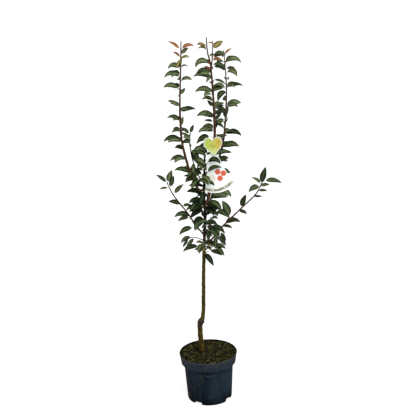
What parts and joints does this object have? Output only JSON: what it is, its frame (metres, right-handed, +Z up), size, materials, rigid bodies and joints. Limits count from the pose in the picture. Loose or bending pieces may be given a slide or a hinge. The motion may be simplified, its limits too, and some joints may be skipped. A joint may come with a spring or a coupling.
{
  "type": "potted pear tree",
  "caption": "Young grafted pear tree in leaf, with upright shoots and thin side branches, standing in a round nursery pot of compost, with two hanging plastic labels.",
  "frame": {"origin": "centre of the pot's flat underside, on the ground", "axes": "+Z up along the tree, -Y towards the front, where the labels face, +X to the right seen from the front"},
  "size_m": [0.4982, 0.4666, 1.5941],
  "materials": {
    "pot_plastic": "matt dark slate, lightly scuffed",
    "compost": "moist, crumbly and mossy",
    "trunk_bark": "matt olive-brown bark",
    "shoot_bark": "smooth red-brown young bark",
    "leaves": "satin green leaf",
    "young_leaves": "satin bronze young leaf",
    "label_green": "satin printed plastic",
    "label_white": "satin printed plastic"
  },
  "bodies": {
    "root": {"back_branch": "shoot_bark", "back_branch_mass_1": "leaves", "back_branch_tip": "leaves", "bell_label": "label_white", "front_branch": "shoot_bark", "front_branch_tip": "leaves", "heart_label": "label_green", "inner_shoot": "shoot_bark", "inner_shoot_mass": "leaves", "inner_shoot_tip": "leaves", "leader_mass": "leaves", "left_branch": "shoot_bark", "left_branch_mass_1": "leaves", "left_branch_tip": "leaves", "left_shoot": "shoot_bark", "left_shoot_mass_1": "leaves", "left_shoot_mass_2": "leaves", "left_shoot_mass_3": "leaves", "left_shoot_tip": "young_leaves", "low_left_mass": "leaves", "low_left_spur": "shoot_bark", "low_right_mass": "leaves", "low_right_spur": "shoot_bark", "middle_shoot": "shoot_bark", "middle_shoot_mass_1": "leaves", "middle_shoot_mass_2": "leaves", "middle_shoot_mass_3": "leaves", "middle_shoot_tip": "young_leaves", "pot": "pot_plastic", "right_branch": "shoot_bark", "right_branch_mass_1": "leaves", "right_branch_mass_2": "leaves", "right_branch_tip": "leaves", "right_shoot": "shoot_bark", "right_shoot_mass_1": "leaves", "right_shoot_mass_2": "leaves", "right_shoot_mass_3": "leaves", "right_shoot_tip": "young_leaves", "soil": "compost", "trunk": "trunk_bark", "trunk_mass_1": "leaves", "trunk_mass_2": "leaves", "trunk_mass_3": "leaves"}
  },
  "joints": []
}
